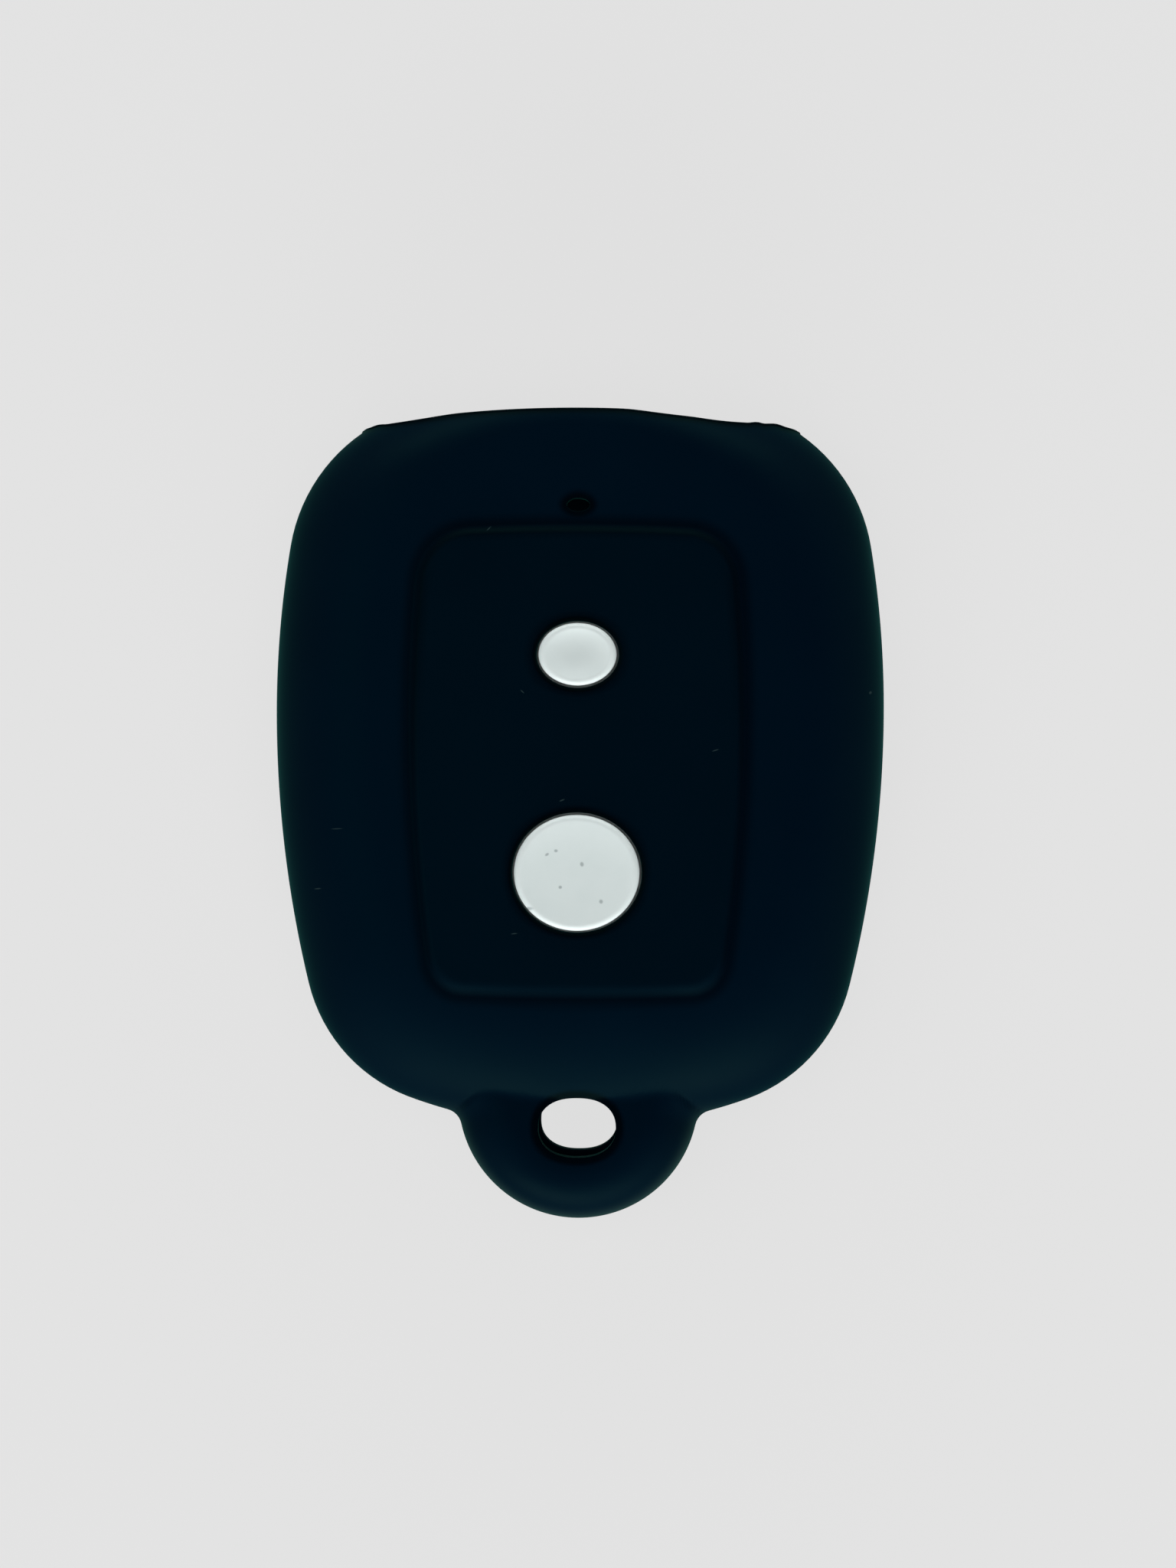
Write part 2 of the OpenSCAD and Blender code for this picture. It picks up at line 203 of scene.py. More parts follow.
fillet_lean = math.acos(
    (closing_rise**2 + fillet_far**2 - (closing_r + tab_fillet) ** 2) / (2 * closing_rise * fillet_far)
)
fillet_way = np.array([math.sin(fillet_lean), math.cos(fillet_lean)])
fillet_middle = tab_middle + fillet_far * fillet_way
root_way = fillet_middle - closing_middle
root_phi = math.atan2(root_way[1], root_way[0])


def tab_rise(x, y, inset, edge):
    """How far the tab has risen at a point: 0 on its outline and outside, 1 on its flat.

    The way in from the outline is measured from the disc's arc below the line that joins the
    disc's middle to the fillet's, and from the fillet's arc above it. The later part of the
    fan round the fillet's middle fades the tab out, where the body's own edge takes over. Also
    gives the way in, as a share of the edge's reach.
    """
    x, y = np.abs(x), y - tab_middle[1]
    below = x * fillet_way[1] - y * fillet_way[0] > 0
    fx, fy = x - fillet_middle[0], y + tab_middle[1] - fillet_middle[1]
    in_from_disc = tab_r - inset - np.hypot(x, y)
    in_from_fillet = np.hypot(fx, fy) - tab_fillet - inset
    way_in = np.clip(np.where(below, in_from_disc, in_from_fillet) / edge, 0, 1)
    fan_start = math.atan2(-fillet_way[1], -fillet_way[0])
    fan = (fan_start - np.arctan2(fy, fx)) / (fan_start - root_phi - math.pi)
    kept = np.where(below, 1, 1 - eased((fan - fan_kept) / (1 - fan_kept)))
    return kept * np.sqrt(1 - (1 - way_in) ** 2), way_in


def soft_max(a, b, radius):
    """The larger of two heights, with a hollow fillet of about one radius where they cross.

    The fillet adds a quarter of the radius where the heights are the same, and fades with the
    square of how near they are. The least radius keeps the share defined where there is none.
    """
    radius = radius + least_r
    near = np.clip(1 - np.abs(a - b) / radius, 0, 1)
    return np.maximum(a, b) + near**2 * radius / 4


def front_height(x, y, inset=0, rest=parting_z):
    """The front skin: the pebble's rounded edge and domed face, or the tab's flat where higher."""
    tab, way_in = tab_rise(x, y, inset, tab_edge if inset < wall else pocket_edge)
    pebble = rest + (face_height(x, y) - inset - rest) * roundness(x, y, inset, front_edge)
    flat = rest + (parting_z + tab_front_h - inset - rest) * tab
    return soft_max(pebble, flat, crease_r * way_in)


def back_height(x, y, inset=0, rest=parting_z):
    """The back skin: flat in the middle, rounded at the edge, or the tab's flat where lower."""
    tab, way_in = tab_rise(x, y, inset, tab_edge if inset < wall else pocket_edge)
    pebble = rest - (rest - inset) * roundness(x, y, inset, back_edge)
    flat = rest - (rest - parting_z + tab_back_h - inset) * tab
    return -soft_max(-pebble, -flat, crease_r * way_in)


# The mouth: the closed form is cut by a shallow arc, its lip is rolled, and an
# oval way leads into the cavity. Each nib of the lip has a place, a half width
# and a rise.
lip_bow = 1 * mm
lip_outer_r = 0.18 * mm
lip_inner_r = 0.45 * mm
ear_x = 14.787 * mm
slump_from, slump_to = 1 * mm, 14 * mm
slump_most = 0.34 * mm
slump_power = 1.6
lip_nibs = (
    (-13.8 * mm, 0.7 * mm, 0.08 * mm),
    (-11.6 * mm, 3.6 * mm, -0.11 * mm),
    (5.6 * mm, 2.6 * mm, -0.08 * mm),
    (12.05 * mm, 0.55 * mm, 0.09 * mm),
    (13.35 * mm, 0.75 * mm, 0.1 * mm),
)
mouth_half_w = ear_x - wall
mouth_half_h = 5.11 * mm
mouth_z = 7.136 * mm
mouth_depth = 7 * mm
mouth_blend = 3 * mm
lip_r = (ear_x**2 + lip_bow**2) / (2 * lip_bow)


def lip_line(x):
    """The lip's shallow arc, which bows out by lip_bow between the two corners."""
    return lip_y - lip_r + np.sqrt(lip_r**2 - x**2)


def lip_slump(x):
    """How far the lip has slumped between its middle and the right corner, with nibs and dips.

    The slump is the squared sine of half a turn times the share of the way, raised to a power.
    It is most at nearly two thirds of the way to the corner, and ends just short of it. Small
    nibs of flash stand up at the two corners, and two long dips, which have a negative rise, go
    the other way. Each is a smooth bump: the square of 1 less the squared share of its half width.
    """
    share = np.clip((x - slump_from) / (slump_to - slump_from), 0, 1)
    nibs = sum(rise * np.clip(1 - ((x - at) / half) ** 2, 0, 1) ** 2 for at, half, rise in lip_nibs)
    return slump_most * np.sin(math.pi * share**slump_power) ** 2 - nibs


def mouth_share(y):
    """0 in the cavity, rising smoothly to 1 in the oval way behind the lip."""
    return eased((y - lip_y + mouth_depth) / mouth_blend)


def mouth_middle(y):
    """The height of the cavity's widest line, which rises a little in the mouth."""
    return parting_z + (mouth_z - parting_z) * mouth_share(y)


def oval(x, y):
    """How far the mouth's oval way stands above or below its middle."""
    return mouth_half_h * np.sqrt(np.clip(1 - (x / mouth_half_w) ** 2, 0, 1)) * mouth_share(y)


def ceiling_height(x, y):
    """The cavity's ceiling: one wall inside the front, or the mouth's oval where higher."""
    return mouth_middle(y) + np.maximum(front_height(x, y, wall) - parting_z, oval(x, y))


def floor_height(x, y):
    """The cavity's floor: one wall inside the back, or the mouth's oval where lower."""
    return mouth_middle(y) - np.maximum(parting_z - back_height(x, y, wall), oval(x, y))


# Columns of the skin's grid on the right half, from the tab's tip to the lip's
# middle: round the tab, round its fillet, along the body and along the lip. The
# body's side is worked out on side_count points before it is respaced.
tab_columns = 34
fillet_columns = 6
body_columns = 74
lip_columns = 54
side_count = 8001
half_columns = tab_columns + fillet_columns + body_columns + lip_columns
lip_from, lip_to = half_columns - lip_columns, half_columns + lip_columns


def arc(middle, radius, start, end, count):
    """Points on a circle from one angle to another, in radians."""
    angle = np.linspace(start, end, count + 1)
    return middle + radius * np.stack([np.cos(angle), np.sin(angle)], 1)


def respaced(points, count):
    """The same line with its points the same way apart."""
    way = np.concatenate([[0], np.cumsum(np.hypot(*np.diff(points, axis=0).T))])
    at = np.linspace(0, way[-1], count + 1)
    return np.stack([np.interp(at, way, points[:, 0]), np.interp(at, way, points[:, 1])], 1)


def whole(right):
    """A closed loop from its right half, which runs from the bottom to the top."""
    return np.concatenate([right, right[-2:0:-1] * (-1, 1)])


def outline(inset, mouth_half, lip_back):
    """The cover's outline seen from above, drawn in by an inset, as a closed loop.

    The tab's arc, its fillet, the pebble's outline and the lip's arc follow each other. Beside
    the mouth the loop comes no nearer to the middle line than mouth_half, and at the lip it
    stays lip_back short of the cut.
    """
    tab = arc(tab_middle, tab_r - inset, -right_angle, right_angle - fillet_lean, tab_columns)
    root = arc(
        fillet_middle, tab_fillet + inset, 3 * right_angle - fillet_lean, root_phi + math.pi, fillet_columns
    )
    phi = np.linspace(root_phi, right_angle, side_count)
    x, y = body_outline(phi, inset)
    x = np.where(phi > 0, np.maximum(x, mouth_half), x)
    last = np.argmax(y > lip_line(x) - lip_back)
    side = respaced(np.stack([x, y], 1)[:last], body_columns)
    side[0] = root[-1]
    lip_x = side[-1, 0] * np.cos(np.linspace(0, right_angle, lip_columns + 1))
    lip = np.stack([lip_x, lip_line(lip_x) - lip_back], 1)
    loop = whole(np.concatenate([tab[:-1], root[:-1], side[:-1], lip]))
    loop[lip_from : lip_to + 1, 1] -= lip_slump(loop[lip_from : lip_to + 1, 0])
    return loop


# The raised panel, and the two cells inside it that meet halfway between the pads
panel_half = 11.15 * mm
panel_len = 31 * mm
panel_from_lip = 8.3 * mm
panel_top_y = lip_y - panel_from_lip
panel_rise = 0.23 * mm
panel_foot = (-0.3 * mm, -0.6 * mm)
panel_crest = (0.4 * mm, 0.4 * mm)
panel_down, panel_up = np.abs(chain(ends, panel_upper, panel_lower)[1])
panel_waist_y = panel_top_y - panel_len * panel_up / (panel_up + panel_down)


def panel_outline(phi, reach):
    """The panel's right outline, drawn in by one reach at the sides and another at the ends."""
    side, end = reach
    x, y = chain(phi, panel_upper, panel_lower)
    unit = (panel_len - 2 * end) / (panel_up + panel_down)
    return np.stack([x * (panel_half - side), panel_waist_y + y * unit], 1)


def pad_place(node):
    """The middle of a pad and its half width and half length, from its flange's box."""
    low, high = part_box(node)
    half_flange = (high - low) / 2
    pad_half_w = half_flange.x - flange_reach
    return np.array([0, (low.y + high.y) / 2]), pad_half_w, pad_half_w * half_flange.y / half_flange.x


flange_reach = 0.9 * mm
pad_gap = 0.15 * mm
pad_seat_wall = 1.3 * mm
small_middle, small_half_w, small_half_len = pad_place("small_button_pad")
large_middle, large_half_w, large_half_len = pad_place("large_button_pad")
cell_y = (small_middle[1] + large_middle[1]) / 2

cell_columns = 84
tab_side_columns = tab_columns + fillet_columns
tab_side_angle = math.radians(-50)
divide_columns = 76
crest_line = panel_outline(dense_phi, panel_crest)
divide_x = np.interp(cell_y, crest_line[:, 1], crest_line[:, 0])
divide_angle = math.atan2(cell_y - large_middle[1], divide_x)


def phi_of_rays(middle, rays):
    """Where rays from a pad's middle meet the panel's crest, as angles of the outline's normal."""
    way = crest_line - middle
    return np.interp(rays, np.arctan2(way[:, 1], way[:, 0]), dense_phi)


lower_rays = np.concatenate([
    np.linspace(-right_angle, tab_side_angle, tab_side_columns, endpoint=False),
    np.linspace(tab_side_angle, divide_angle, cell_columns - tab_side_columns + 1),
])
upper_rays = np.linspace(-divide_angle, right_angle, cell_columns + 1)
panel_phi = np.concatenate([phi_of_rays(large_middle, lower_rays), phi_of_rays(small_middle, upper_rays)[1:]])
foot_loop = whole(panel_outline(panel_phi, panel_foot))
crest_loop = whole(panel_outline(panel_phi, panel_crest))
divide_rays = np.linspace(divide_angle, math.pi - divide_angle, divide_columns + 1)[1:-1]
divide_line_x = (cell_y - large_middle[1]) / np.tan(divide_rays)
divide_line = np.stack([divide_line_x, np.full(divide_columns - 1, cell_y)], 1)
first, last = cell_columns, 3 * cell_columns
lower_cell = np.concatenate([crest_loop[: first + 1], divide_line, crest_loop[last:]])
upper_cell = np.concatenate([crest_loop[first : last + 1], divide_line[::-1]])


def rows_in(counts, stops):
    """Shares from 0 to 1 that crowd towards 0, with a set count of rows between stops."""
    turn = np.arccos(1 - np.array(stops))
    parts = [np.linspace(a, b, n, endpoint=False) for a, b, n in zip(turn, turn[1:], counts)]
    return 1 - np.cos(np.concatenate([*parts, turn[-1:]]))


def placed(plan, height):
    """Points of a plan, with their heights as a third column."""
    return np.concatenate([plan, height[..., None]], -1)


def on_surface(plan, height):
    """Points of a plan, lifted on to a surface that has a height for each x and y."""
    return placed(plan, height(plan[..., 0], plan[..., 1]))


def closed(grid):
    """The same rows with their first column repeated at the end, so that they close."""
    return np.concatenate([grid, grid[:, :1]], 1)


def spanned(outer, inner, shares):
    """Rows of points on the straight lines that join each point of a loop to its partner."""
    return outer + (inner - outer) * shares[:, None, None]


# Windows that the holes are set in, as rows and half a count of columns, and the
# rows from a window's border to the lip of its hole
ring_rows = 17
ring_side = 17
light_rows = 12
light_side = 7
window_hole_rows = 9


def window(grid, row, rows, column, side):
    """The border of a window in a closed grid, and the faces that it takes out.

    The border runs once round, so it has twice the window's rows and columns.
    """
    count = grid.shape[1] - 1
    across = np.arange(column - side, column + side)
    down = np.arange(row, row + rows)
    at_row = np.concatenate([np.full(2 * side, row), down, np.full(2 * side, row + rows), down[::-1] + 1])
    at_column = np.concatenate([
        across, np.full(rows, column + side), across[::-1] + 1, np.full(rows, column - side)
    ])
    taken = np.zeros((grid.shape[0] - 1, count), bool)
    taken[row : row + rows, across % count] = True
    return grid[at_row, at_column % count], taken


def hole(border, middle, angle, rim, lip, way, height, rows, lip_rows=6):
    """The skin from a border to the edge of a hole.

    Straight lines run to one lip's radius outside the rim, and a quarter circle then bends the
    skin down, or up where way is 1, to the rim. rim gives the hole's radius at each angle.
    """
    out = np.stack([np.cos(angle), np.sin(angle)], 1)
    start = middle + (rim(angle) + lip)[:, None] * out
    flat = spanned(border[:, :2], start, np.linspace(0, 1, rows + 1))
    bend = np.linspace(0, right_angle, lip_rows + 1)[1:, None]
    bent = middle + (rim(angle) + lip * (1 - np.sin(bend)))[..., None] * out
    flat, bent = on_surface(flat, height), on_surface(bent, height)
    flat[0] = border if border.shape[1] == 3 else flat[0]
    bent[..., 2] += way * lip * (1 - np.cos(bend))
    return closed(np.concatenate([flat, bent]))


def ellipse_rim(a, b):
    """The radius of an ellipse at each angle."""
    return lambda angle: 1 / np.hypot(np.cos(angle) / a, np.sin(angle) / b)


def squared_rim(a, b, power):
    """The radius of a squared-off oval, whose shares of a and b, raised to a power, add up to 1."""
    return lambda angle: (
        np.abs(np.cos(angle) / a) ** power + np.abs(np.sin(angle) / b) ** power
    ) ** (-1 / power)


ring_from_tip = 6.57 * mm
ring_half_w, ring_half_len = 2.65 * mm, 2.03 * mm
ring_power = 2.3
ring_middle = np.array([0, tip_y + ring_from_tip])
ring_rim = squared_rim(ring_half_w, ring_half_len, ring_power)
ring_lip = 0.1 * mm
pocket_lip = 0.15 * mm
light_from_panel = 1.7 * mm
light_half_w, light_half_len = 0.78 * mm, 0.45 * mm
light_middle = np.array([0, panel_top_y + light_from_panel])
light_rim = ellipse_rim(light_half_w, light_half_len)
light_lip = 0.06 * mm
pad_lip = 0.35 * mm
seat_lip = 0.1 * mm

# The four big grids. Each has its edge rows first, then the ring window's rows
# between its two inner stops, and then its inner rows up to the panel's foot.
front_edge_rows, back_edge_rows, cavity_edge_rows = 21, 14, 6
back_inner_rows, floor_inner_rows = 4, 3
skin_stops = (0, 0.21, 0.632, 1)
cavity_stops = (0, 0.12, 0.59, 1)
front_rows = rows_in((front_edge_rows, ring_rows, light_rows), skin_stops)
back_rows = rows_in((back_edge_rows, ring_rows, back_inner_rows), skin_stops)
ceiling_rows = rows_in((cavity_edge_rows, ring_rows, light_rows), cavity_stops)
floor_rows = rows_in((cavity_edge_rows, ring_rows, floor_inner_rows), cavity_stops)
skin_loop = outline(seam_rise, 0, lip_outer_r)
cavity_loop = outline(wall, mouth_half_w, lip_inner_r)
front_rest, back_rest = parting_z + seam_half, parting_z - seam_half


def big_grid(loop, rows, height, rest):
    """A grid from the outline to the panel's foot. Its first row lies at rest, but not at the lip."""
    grid = on_surface(spanned(loop, foot_loop, rows), height)
    beside = np.r_[0 : lip_from + 1, lip_to : 2 * half_columns]
    grid[0, beside, 2] = rest(loop[beside, 1])
    return closed(grid)


def skin_front(x, y):
    """The outer front skin, which starts just above the seam."""
    return front_height(x, y, seam_rise, front_rest)


def skin_back(x, y):
    """The outer back skin, which starts just below the seam."""
    return back_height(x, y, seam_rise, back_rest)


def panel_height(x, y):
    """The raised panel's face."""
    return face_height(x, y) + panel_rise


front = big_grid(skin_loop, front_rows, skin_front, lambda y: front_rest)
back = big_grid(skin_loop, back_rows, skin_back, lambda y: back_rest)
ceiling = big_grid(cavity_loop, ceiling_rows, ceiling_height, mouth_middle)
cavity_floor = big_grid(cavity_loop, floor_rows, floor_height, mouth_middle)
sheets = []


def add_sheet(grid, kept=None):
    """Adds a grid to the skin, with a mask of the faces that are kept where some aren't."""
    sheets.append((grid, kept))


def add_window(grid, kept, row, rows, column, side, middle, rim, lip, way, height, angle=None):
    """Cuts a window out of a grid's kept faces and sets a hole in it.

    The hole's columns lie at given angles, or else at those of the window's border as seen from
    the hole's middle. Gives the hole's grid and these angles.
    """
    border, taken = window(grid, row, rows, column, side)
    if angle is None:
        angle = np.arctan2(border[:, 1] - middle[1], border[:, 0] - middle[0])
    kept &= ~taken
    made = hole(border, middle, angle, rim, lip, way, height, window_hole_rows)
    add_sheet(made)
    return made, angle


def all_faces(grid):
    """A mask that keeps every face of a grid."""
    return np.ones((grid.shape[0] - 1, grid.shape[1] - 1), bool)


front_kept, back_kept = all_faces(front), all_faces(back)
ceiling_kept, floor_kept = all_faces(ceiling), all_faces(cavity_floor)
ring_window = (ring_rows, 0, ring_side, ring_middle, ring_rim)
light_window = (light_rows, half_columns, light_side, light_middle, light_rim)
ring_top, ring_angle = add_window(front, front_kept, front_edge_rows, *ring_window, ring_lip, -1, skin_front)
ring_in_top, _ = add_window(
    ceiling, ceiling_kept, cavity_edge_rows, *ring_window, pocket_lip, 1, ceiling_height, ring_angle
)
ring_in_low, _ = add_window(
    cavity_floor, floor_kept, cavity_edge_rows, *ring_window, pocket_lip, -1, floor_height, ring_angle
)
ring_low, _ = add_window(
    back, back_kept, back_edge_rows, *ring_window, ring_lip, 1, skin_back, ring_angle
)
light_top, light_angle = add_window(
    front, front_kept, front_edge_rows + ring_rows, *light_window, light_lip, -1, skin_front
)
light_in, _ = add_window(
    ceiling, ceiling_kept, cavity_edge_rows + ring_rows, *light_window, pocket_lip, 1, ceiling_height,
    light_angle,
)


def tube(*rings, rows=4):
    """A tube wall that runs straight from each ring of points to the next."""
    parts = [a + (b - a) * np.linspace(0, 1, rows + 1)[:, None, None] for a, b in zip(rings, rings[1:])]
    return np.concatenate([parts[0], *(part[1:] for part in parts[1:])])


add_sheet(tube(ring_top[-1], ring_in_top[-1]))
add_sheet(tube(ring_in_low[-1], ring_low[-1]))
add_sheet(tube(light_top[-1], light_in[-1]))
add_sheet(front, front_kept)
add_sheet(back, back_kept)
add_sheet(ceiling, ceiling_kept)
add_sheet(cavity_floor, floor_kept)

# The panel's sloping edge, from its foot to its crest: half a cosine wave
band_rows = 16
band_share = np.linspace(0, 1, band_rows + 1)[:, None]
band_reach = np.array(panel_foot) + (np.array(panel_crest) - panel_foot) * band_share
band_plan = np.stack([whole(panel_outline(panel_phi, reach)) for reach in band_reach])
band_x, band_y = band_plan[..., 0], band_plan[..., 1]
band_foot = skin_front(band_x, band_y)
band_rise = (1 - np.cos(math.pi * band_share)) / 2
band_height = band_foot + (panel_height(band_x, band_y) - band_foot) * band_rise
add_sheet(closed(placed(band_plan, band_height)))
add_sheet(closed(on_surface(band_plan[[0, -1]], ceiling_height)))

# Each pad's hole through the panel's wall: a shaft, and a wider seat on the inside
shaft_rows, seat_rows = 14, 6
for cell, middle, half_wide, half_long in (
    (lower_cell, large_middle, large_half_w, large_half_len),
    (upper_cell, small_middle, small_half_w, small_half_len),
):
    stretch = (half_long + pad_gap) / (half_wide + pad_gap)
    shaft = half_wide + pad_gap
    seat = half_wide + flange_reach + pad_gap
    shaft_rim = ellipse_rim(shaft, shaft * stretch)
    seat_rim = ellipse_rim(seat, seat * stretch)
    angle = np.arctan2(cell[:, 1] - middle[1], cell[:, 0] - middle[0])
    outside = hole(cell, middle, angle, shaft_rim, pad_lip, -1, panel_height, shaft_rows)
    inside = hole(cell, middle, angle, seat_rim, seat_lip, 1, ceiling_height, seat_rows)
    seat_z = panel_height(middle[0], middle[1]) - pad_seat_wall
    shaft_foot, seat_ring = outside[-1].copy(), inside[-1].copy()
    shaft_foot[:, 2] = seat_z
    seat_ring[:, 2] = seat_z
    add_sheet(outside)
    add_sheet(inside)
    add_sheet(tube(outside[-1], shaft_foot, seat_ring, inside[-1]))

# The flat back and the cavity's floor close on the middle of the panel
back_middle_rows, floor_middle_rows = 10, 8
centre = np.array([[0, panel_waist_y]])
for height, count in ((skin_back, back_middle_rows), (floor_height, floor_middle_rows)):
    plan = spanned(foot_loop, centre, np.linspace(0, 1, count + 1))
    add_sheet(closed(on_surface(plan, height)))

# The seam ridge round the widest line, from one corner of the lip to the other
ridge_half = seam_half / 3
ridge_loop = outline(0, 0, lip_outer_r)
beside = np.r_[lip_to : 2 * half_columns, 0 : lip_from + 1]
ridge = [placed(ridge_loop, np.full(2 * half_columns, parting_z + way * ridge_half)) for way in (1, -1)]
add_sheet(np.stack([front[0, beside], ridge[0][beside], ridge[1][beside], back[0, beside]]))

# The rolled lip, between the skin's first row and the cavity's: a small round
# outside, a flat and a larger round inside
lip_bend_points = 6
lip_at = np.arange(lip_from, lip_to + 1)


def lip_loop(upper, lower, between):
    """The closed loop round the mouth: along the upper row, then back along the lower one."""
    left, right = [part[[-1]] for part in between], [part[[0]] for part in between[::-1]]
    return np.concatenate([upper, *left, lower[::-1], *right])


outer_lip = lip_loop(front[0, lip_at], back[0, lip_at], [part[lip_at] for part in ridge])
inner_lip = lip_loop(ceiling[0, lip_at], cavity_floor[0, lip_at], [ceiling[0, lip_at]] * 2)
across = inner_lip - outer_lip
across[:, 1] = 0
lip_wall = np.linalg.norm(across, axis=1)
bend = np.linspace(0, right_angle, lip_bend_points)[:, None]
along_outside = lip_outer_r * (1 - np.cos(bend)) + 0 * lip_wall
along_inside = lip_wall - lip_inner_r * (1 - np.cos(bend[::-1]))
along = np.concatenate([along_outside, along_inside])
short = np.concatenate([lip_outer_r * (1 - np.sin(bend)), lip_inner_r * (1 - np.sin(bend[::-1]))])
rolled = outer_lip + across * (along / lip_wall)[..., None]
rolled[..., 1] = lip_line(rolled[..., 0]) - lip_slump(rolled[..., 0]) - short
add_sheet(closed(rolled))
merge_distance = 0.0006 * mm


def piece_from(name, sheets, body, node):
    """One mesh from grids of points, on a body and in the place of a CAD node.

    Neighbours in rows and columns make the faces, except those that a mask leaves out. Grids
    that share a border are merged along it, and points that no face uses are deleted.
    """
    points, quads, start = [], [], 0
    for grid, mask in sheets:
        at = start + np.arange(grid.shape[0] * grid.shape[1]).reshape(grid.shape[:2])
        quad = np.stack([at[:-1, :-1], at[:-1, 1:], at[1:, 1:], at[1:, :-1]], -1)
        quads.append(quad.reshape(-1, 4) if mask is None else quad[mask])
        points.append(grid.reshape(-1, 3))
        start += len(points[-1])
    mesh = bpy.data.meshes.new(name)
    mesh.from_pydata(np.concatenate(points).tolist(), [], np.concatenate(quads).tolist())
    merged = bmesh.new()
    merged.from_mesh(mesh)
    bmesh.ops.remove_doubles(merged, verts=merged.verts, dist=merge_distance)
    unused = [corner for corner in merged.verts if not corner.link_faces]
    bmesh.ops.delete(merged, geom=unused, context="VERTS")
    bmesh.ops.recalc_face_normals(merged, faces=merged.faces)
    merged.to_mesh(mesh)
    merged.free()
    mesh.shade_smooth()
    piece = set_out(name, mesh)
    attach(piece, body)
    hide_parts(node)
    return piece


sleeve_skin = piece_from("sleeve_skin", sheets, "sleeve", "sleeve")


def faded(way, width, reach):
    """1 up to a width, falling smoothly to 0 one reach farther on."""
    return eased(1 - (way - width) / reach)


def past_rim(x, y, middle, rim):
    """How far each point lies outside a hole's rim, along the line from the hole's middle."""
    return np.hypot(x, y - middle[1]) - rim(np.arctan2(y - middle[1], x))


# Three marks from 0 to 1 that the material reads: the first is 1 on the raised
# panel; the second is painted shade, strong in the crease at its foot, round the
# holes and under the lip; and the third is a painted highlight, strong on the tab's
# lower rim and at the left corner of the lip. The last two fade out beside these
# places. The sizes of a mark are its width and the reach that it fades over.
ring_mark_sizes = (0.35 * mm, 0.35 * mm)
light_mark_sizes = (0.15 * mm, 0.6 * mm)
lip_mark_sizes = (0.1 * mm, 0.5 * mm)
shaft_mark_sizes = (0.1 * mm, 0.5 * mm)
ring_mark_depth = 0.02 * mm
skin_points = np.empty(3 * len(sleeve_skin.data.vertices))
sleeve_skin.data.vertices.foreach_get("co", skin_points)
at_x, at_y, at_z = skin_points.reshape(-1, 3).T
above_face = at_z - face_height(at_x, at_y)
panel_mark = np.clip(above_face / panel_rise, 0, 1)

# Painted shade in the crease at the panel's foot: its mark is wider on the panel's
# slope towards the lip, and narrower towards the tab
foot_mark_share = 0.66
slope_from_share = 0.02
slope_width, slope_widening, slope_widening_len = 0.2 * mm, 0.3 * mm, 12 * mm
slope_reach, foot_reach = 0.5 * mm, 0.8 * mm
foot_depth = 2 * mm
foot_count, foot_batches = 900, 90
foot_line = respaced(panel_outline(dense_phi, panel_foot), foot_count)
foot_way = np.concatenate([
    np.hypot(part[:, :1] - foot_line[:, 0], part[:, 1:] - foot_line[:, 1]).min(1)
    for part in np.array_split(np.stack([np.abs(at_x), at_y], 1), foot_batches)
])
widening = np.clip((at_y - panel_waist_y) / slope_widening_len + 0.5, 0, 1)
slope_mark = faded(foot_way, slope_width + slope_widening * widening, slope_reach)
foot_mark = np.where(panel_mark > slope_from_share, slope_mark, faded(foot_way, 0, foot_reach))
painted_shade_marks = [foot_mark_share * foot_mark * (above_face > -foot_depth)]

# More painted shade: round the key ring hole, the light hole and the pads' shafts, and under the lip
ring_top_z = parting_z + tab_front_h - ring_lip - ring_mark_depth
ring_mark = faded(past_rim(at_x, at_y, ring_middle, ring_rim), *ring_mark_sizes)
painted_shade_marks.append(ring_mark * (at_z > ring_top_z))
light_mark = faded(past_rim(at_x, at_y, light_middle, light_rim), *light_mark_sizes)
painted_shade_marks.append(light_mark * (above_face > -wall / 2))
below_lip = lip_line(np.clip(at_x, -ear_x, ear_x)) - lip_slump(at_x) - at_y
painted_shade_marks.append(faded(below_lip, *lip_mark_sizes) * (at_z > mouth_z))
for middle, half_wide, half_long in (
    (small_middle, small_half_w, small_half_len), (large_middle, large_half_w, large_half_len),
):
    shaft_rim = ellipse_rim(half_wide + pad_gap, half_long + pad_gap)
    shaft_mark = faded(past_rim(at_x, at_y, middle, shaft_rim), *shaft_mark_sizes)
    painted_shade_marks.append(shaft_mark * (above_face > 0))
painted_shade_mark = np.maximum.reduce(painted_shade_marks)

# A painted highlight near the parting line, on the tab's rim from its sides down
# and at the left corner of the lip
highlight_rim_reach = 1.1 * mm
highlight_from_y = -19 * mm
highlight_full_way = 4 * mm
highlight_corner = (-15.3 * mm, 26.3 * mm)
highlight_corner_reach = 1.4 * mm
highlight_corner_share = 0.8
highlight_up, highlight_down = 4 * mm, 1.2 * mm
highlight_tab = faded(tab_r - np.hypot(at_x, at_y - tab_middle[1]), 0, highlight_rim_reach)
highlight_tab *= np.clip((highlight_from_y - at_y) / highlight_full_way, 0, 1)
highlight_lip = faded(np.hypot(at_x - highlight_corner[0], at_y - highlight_corner[1]), 0, highlight_corner_reach)
highlight_lip *= at_z > parting_z
near_parting = faded(np.abs(at_z - parting_z), 0, np.where(at_z > parting_z, highlight_up, highlight_down))
highlight_mark = np.maximum(highlight_tab, highlight_corner_share * highlight_lip) * near_parting
